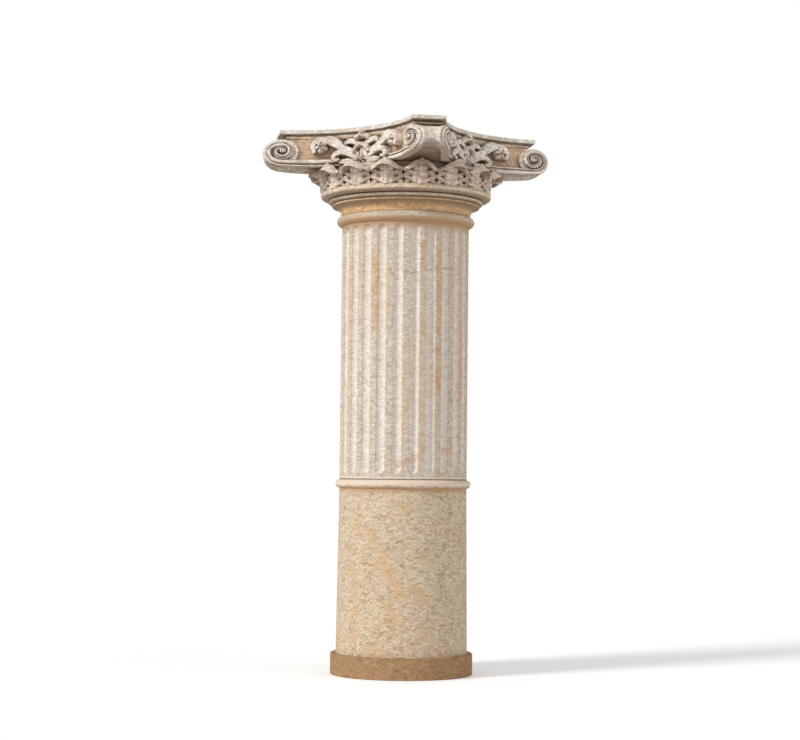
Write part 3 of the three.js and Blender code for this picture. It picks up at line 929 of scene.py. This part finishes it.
def boss(side, along, rise, half_width, half_height, relief, petals, cleft, dimple, turn):
    """A rounded boss on one half of a face, parted into petals, with a dimple in its middle."""
    spokes = max(20, petals * 8)
    angle = np.arange(spokes) * 2 * math.pi / spokes
    petal = np.abs(np.cos(petals * (angle - side * turn) / 2)) ** 0.7
    edge = 1 - 0.24 * (1 - petal)

    def loop(ring, out):
        beside = side * along + half_width * ring * edge * np.cos(angle)
        height = block_foot + rise + half_height * ring * edge * np.sin(angle)
        return face_point(beside, out, height)

    loops = [loop(boss_rings[0], -root_depth)]
    for ring in boss_rings:
        swell = math.sqrt(max(0.0, 1 - ring ** 2.4)) - dimple * math.exp(-(ring / 0.22) ** 2)
        clefts = 1 - cleft * (1 - petal) * min(1, 2.2 * ring)
        loops.append(loop(ring, relief * (0.25 + 0.75 * swell) * clefts))
    return loft_solid(loops)


def stem(side, relief, ridge, points):
    """A smooth stem on one half of a face, through points of along, rise and half width."""
    points = np.array(points)
    fine = np.linspace(0, len(points) - 1, 8 * (len(points) - 1) + 1)
    known = np.arange(len(points))
    along, rise, half = (np.interp(fine, known, points[:, k]) for k in range(3))
    for _ in range(10):
        along[1:-1] = (along[:-2] + 2 * along[1:-1] + along[2:]) / 4
        rise[1:-1] = (rise[:-2] + 2 * rise[1:-1] + rise[2:]) / 4
    edge = 0.35 * relief
    section = [(-1, -root_depth), (-1, edge)]
    for turn in np.linspace(-70, 70, 7):
        lift = math.cos(math.radians(turn)) - ridge * math.exp(-(turn / 25) ** 2)
        section.append((math.sin(math.radians(turn)), relief * (0.4 + 0.6 * lift)))
    section += [(1, edge), (1, -root_depth)]
    return loft_solid(swept(side * along, block_foot + rise, half, section))


# Bosses: run along the face, rise over the block's foot, half width, half height, relief, petals,
# cleft between the petals, dimple and turn.
middle_bosses = {
    "bud": (0.0, 0.154, 0.030, 0.032, 0.056, 3, 0.5, 0.0, math.pi / 2),
    "open flower": (0.0, 0.026, 0.058, 0.036, 0.044, 7, 0.55, 0.0, math.pi / 2),
}
half_bosses = {
    "petal": (0.034, 0.143, 0.023, 0.026, 0.044, 2, 0.3, 0.0, -0.6),
    "rosette": (0.258, 0.101, 0.040, 0.0368, 0.050, 5, 0.55, 0.45, 0.4),
    "scroll eye": (eye_along, eye_height - block_foot, 0.016, 0.013, 0.022, 1, 0.0, 0.8, 0.0),
}
# Stems: relief, groove along the ridge, and points of along, rise and half width.
middle_stems = {
    "collar": (0.050, 0.0, (
        (-0.054, 0.058, 0.012), (-0.038, 0.090, 0.014), (0.0, 0.106, 0.015), (0.038, 0.090, 0.014),
        (0.054, 0.058, 0.012),
    )),
    "stalk": (0.032, 0.35, ((0.0, 0.008, 0.038), (0.0, 0.045, 0.027), (0.0, 0.118, 0.018))),
}
half_stems = {
    "strap": (0.038, 0.35, (
        (0.020, 0.048, 0.020), (0.075, 0.068, 0.022), (0.125, 0.090, 0.021), (0.180, 0.116, 0.020),
        (0.235, 0.140, 0.018), (0.284, 0.136, 0.016), (0.310, 0.104, 0.014), (0.292, 0.070, 0.011),
    )),
    "leaflet": (0.030, 0.3, (
        (0.130, 0.104, 0.010), (0.165, 0.134, 0.016), (0.205, 0.150, 0.015), (0.235, 0.150, 0.007),
    )),
    "small scroll": (0.038, 0.3, (
        (0.030, 0.026, 0.015), (0.085, 0.056, 0.017), (0.125, 0.072, 0.018), (0.165, 0.066, 0.017),
        (0.190, 0.042, 0.015), (0.170, 0.022, 0.012), (0.148, 0.034, 0.010),
    )),
    "sprig": (0.032, 0.35, (
        (0.020, 0.106, 0.014), (0.052, 0.122, 0.018), (0.090, 0.130, 0.016), (0.118, 0.112, 0.008),
    )),
    "wing": (0.046, 0.35, ((0.045, 0.010, 0.018), (0.095, 0.016, 0.020), (0.145, 0.010, 0.009))),
}


def ornament():
    """Flower ornament of one face, as solids: a bud over an open flower, and stems with rosettes."""
    solids = [boss(1, *row) for row in middle_bosses.values()]
    solids += [stem(1, *row) for row in middle_stems.values()]
    for side in (-1, 1):
        solids += [boss(side, *row) for row in half_bosses.values()]
        solids += [stem(side, *row) for row in half_stems.values()]
    return solids


# Abacus of the capital
# A thin slab over a groove and a lower moulding, with four hollow sides and horns cut off flat.
# It is the top of the same block, and the beam lies on it.
mid_distance = 0.411
horn_distance = 0.714
horn_half_width = 0.091
horn_narrowing = 0.55
moulding_inset = 0.017
groove_inset = 0.026
moulding_height = 0.024
groove_height = 0.008
slab_edge = 0.004
abacus_columns = 41


def abacus_outline(inset):
    """Points round the abacus at a step in from its outermost edge, with the horns cut off flat."""
    corner_x = (horn_distance - horn_half_width) / math.sqrt(2)
    corner_y = (horn_distance + horn_half_width) / math.sqrt(2)
    sag = corner_y - mid_distance
    radius = (corner_x ** 2 + sag ** 2) / (2 * sag) + inset
    centre = mid_distance - inset + radius
    narrowing = 1 - horn_narrowing * inset / (horn_half_width * math.sqrt(2))
    end = math.asin(corner_x / (radius - inset)) * narrowing
    angle = np.linspace(-end, end, abacus_columns)
    x = radius * np.sin(angle)
    y = -(centre - radius * np.cos(angle))
    beyond = np.maximum((np.abs(x) - y) / math.sqrt(2) - (horn_distance - inset), 0)
    x = x - np.sign(x) * beyond / math.sqrt(2)
    y = y + beyond / math.sqrt(2)
    side = np.stack([x, y, np.zeros(len(x))], -1)
    return np.concatenate([quarter_turned(side, quarter) for quarter in range(4)])


def abacus():
    """The lower moulding, the groove and the slab, as one stack of outlines."""
    top = capital_high.z
    groove_foot = block_top + moulding_height
    slab_foot = groove_foot + groove_height
    steps = [
        (moulding_inset + 0.008, block_top),
        (moulding_inset + 0.003, block_top + 0.007),
        (moulding_inset - 0.001, block_top + 0.014),
        (moulding_inset, groove_foot - 0.002),
        (moulding_inset + 0.003, groove_foot),
        (groove_inset, groove_foot),
        (groove_inset, slab_foot),
        (0.003, slab_foot),
        (0.0, slab_foot + 0.003),
        (0.0, top - slab_edge),
        (slab_edge, top),
    ]
    loops = []
    for inset, height in steps:
        loop = abacus_outline(inset)
        loop[:, 2] = height
        loops.append(loop)
    return loft_solid(loops)


weathering = 0.0016
worn_patches = 22
worn_chips = 60
chip_share = 0.6


def joined_piece(name, solids):
    """One weathered object from many closed solids, each with the number of its finish."""
    points = np.concatenate([p for p, _, _ in solids])
    faces = []
    finishes = []
    offset = 0
    for p, f, finish in solids:
        faces += [tuple(k + offset for k in face) for face in f]
        finishes += [finish] * len(f)
        offset += len(p)
    piece = mesh_piece(name, points, faces, crease=42)
    piece.data.polygons.foreach_set("material_index", finishes)
    normals = np.empty(3 * len(points))
    piece.data.vertices.foreach_get("normal", normals)
    wear = []
    for p in map(Vector, points):
        wear.append(noise.noise(p * worn_patches) + chip_share * noise.noise(p * worn_chips))
    worn = points + normals.reshape(-1, 3) * np.array(wear)[:, None] * weathering
    piece.data.vertices.foreach_set("co", worn.ravel())
    piece.data.update()
    return piece


ground_foot = leaf_root - ground_sink
ground_profile = [
    (0, ground_foot),
    (ground_radius, ground_foot),
    (ground_radius, block_foot),
    (0, block_foot),
]
parts = [
    (*turned(bell_profile(), bell_steps), bell_finish),
    (*turned(ground_profile, ground_steps), leaf_finish),
    (*scroll_block(), field_finish),
    (*abacus(), abacus_finish),
]
for i in range(leaf_count):
    parts.append((*leaf(2 * math.pi * i / leaf_count), leaf_finish))
for quarter in range(4):
    for points, faces in (corner_scroll(), scroll_band(-1), scroll_band(1), *ornament()):
        parts.append((quarter_turned(points, quarter), faces, raised_finish))

mottle_dark = (0.62, 0.55, 0.48)
mottle_light = (1.16, 1.14, 1.10)
capital_gold = (0.66, 0.44, 0.24)
capital_speck = (0.10, 0.075, 0.055)


def carved_granite(name, raised, painted_shade, shade_reach=0.05, low=None, level=0.0):
    """Carved stone: pale where it stands out, and brown from painted shade in its hollows and on its
    undersides.
    Below a level it has the low colour, where one is given."""
    material, tree, shader, grain = stone_start(name, 0.0055, 0.09)
    colour = raised
    if low:
        colour = mix_colour(tree, level_ramp(tree, level, none_at=-0.003, full_at=0.003), low, raised)
    crystal = ramp(tree, grain["Crystal"], 0.0, 1.0, 0.0, 0.25)
    colour = mix_colour(tree, crystal, colour, shaded(raised, 0.62))
    mottled = mix_colour(tree, grain["Mottle"], mottle_dark, mottle_light)
    colour = mix_colour(tree, 1.0, colour, mottled, blend="MULTIPLY")
    colour = mix_colour(tree, ramp(tree, grain["Hue"], 0.3, 1.0, 0.0, 0.28), colour, capital_gold)
    # Painted shade: recesses darken towards the painted shade colour by ambient occlusion, broken up by the
    # cloud.
    hollow = add_node(tree, "ShaderNodeAmbientOcclusion", {"Distance": shade_reach}, samples=8)
    recess_shade = ramp(tree, hollow.outputs["AO"], 0.8, 0.12)
    colour = tinted(tree, colour, recess_shade, ramp(tree, grain["Cloud"], 0.35, 0.65, 0.75, 1.0), painted_shade)
    # Painted shade: faces that look down take a darker brown.
    normal = add_node(tree, "ShaderNodeNewGeometry").outputs["Normal"]
    facing = add_node(tree, "ShaderNodeSeparateXYZ", {0: normal}).outputs["Z"]
    under = ramp(tree, facing, -0.25, -0.95, 0.0, 0.8)
    colour = mix_colour(tree, under, colour, shaded(painted_shade, 0.85))
    colour = tinted(tree, colour, grain["Speck"], 0.5, capital_speck)
    stone_end(tree, shader, colour, grain["Height"])
    return material


capital = joined_piece("capital_stone", parts)
for finish in (
    carved_granite("bell granite", raised=(0.86, 0.725, 0.575), painted_shade=(0.25, 0.165, 0.10),
                   shade_reach=0.026, low=(0.78, 0.50, 0.265), level=neck_top),
    carved_granite("leaf granite", raised=(0.86, 0.75, 0.685), painted_shade=(0.27, 0.19, 0.13)),
    carved_granite("field granite", raised=(0.74, 0.56, 0.41), painted_shade=(0.28, 0.18, 0.11)),
    carved_granite("raised granite", raised=(0.95, 0.905, 0.865), painted_shade=(0.29, 0.20, 0.135)),
    carved_granite("abacus granite", raised=(0.89, 0.86, 0.815), painted_shade=(0.30, 0.21, 0.135),
                   shade_reach=0.03, low=(0.77, 0.63, 0.48), level=block_top + moulding_height),
):
    capital.data.materials.append(finish)
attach(capital, "root")
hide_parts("capital")
